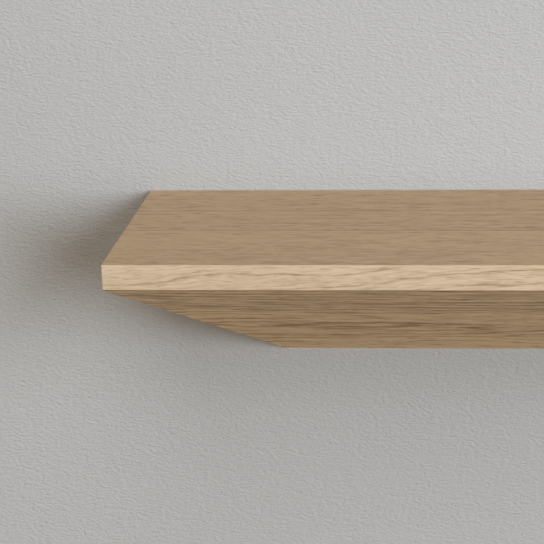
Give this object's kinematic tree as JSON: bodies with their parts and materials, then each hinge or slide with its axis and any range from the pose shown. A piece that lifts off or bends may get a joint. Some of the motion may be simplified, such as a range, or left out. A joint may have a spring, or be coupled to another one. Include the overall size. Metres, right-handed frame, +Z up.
{
  "type": "wall shelf",
  "caption": "Oak wall shelf: a flat board on a hollow mitred body that slopes back to the wall, hung on a hidden bevelled rail.",
  "frame": {"origin": "middle of the wall rail's back face, on the wall plane", "axes": "+X along the shelf to the right as seen from the room, +Y into the wall, +Z up"},
  "size_m": [1, 0.2, 0.131],
  "materials": {
    "oak_board": "oiled oak, edge-glued staves, fine straight grain",
    "oak_panel": "oiled oak, edge-glued staves, flat-sawn grain",
    "plywood": "raw birch plywood with laminated edges",
    "pine": "raw sawn pine",
    "beech": "raw planed beech",
    "screw_steel": "zinc-plated steel"
  },
  "bodies": {
    "wall_part": {"wall_rail": "beech"},
    "shelf": {"top_board": "oak_board", "front_panel": "oak_panel", "left_end_panel": "oak_panel", "right_end_panel": "oak_panel", "left_hip_block": "pine", "right_hip_block": "pine", "front_strip_1": "pine", "front_strip_2": "pine", "front_strip_3": "pine", "front_strip_4": "pine", "front_strip_5": "pine", "hanging_rail": "beech", "lower_rail": "beech", "rib_1": "plywood", "rib_2": "plywood", "rib_3": "plywood", "rib_4": "plywood", "dowel_1": "beech", "dowel_2": "beech", "dowel_3": "beech", "dowel_4": "beech", "dowel_5": "beech", "dowel_6": "beech", "dowel_7": "beech", "dowel_8": "beech", "rail_screw_1": "screw_steel", "rail_screw_2": "screw_steel", "rail_screw_3": "screw_steel", "rail_screw_4": "screw_steel", "lower_screw_1": "screw_steel", "lower_screw_2": "screw_steel", "lower_screw_3": "screw_steel", "lower_screw_4": "screw_steel"}
  },
  "joints": [
    {"name": "lift_off", "type": "slide", "parent": "wall_part", "child": "shelf", "axis": [0, 0, 1], "range_m": [0, 0.018]}
  ]
}
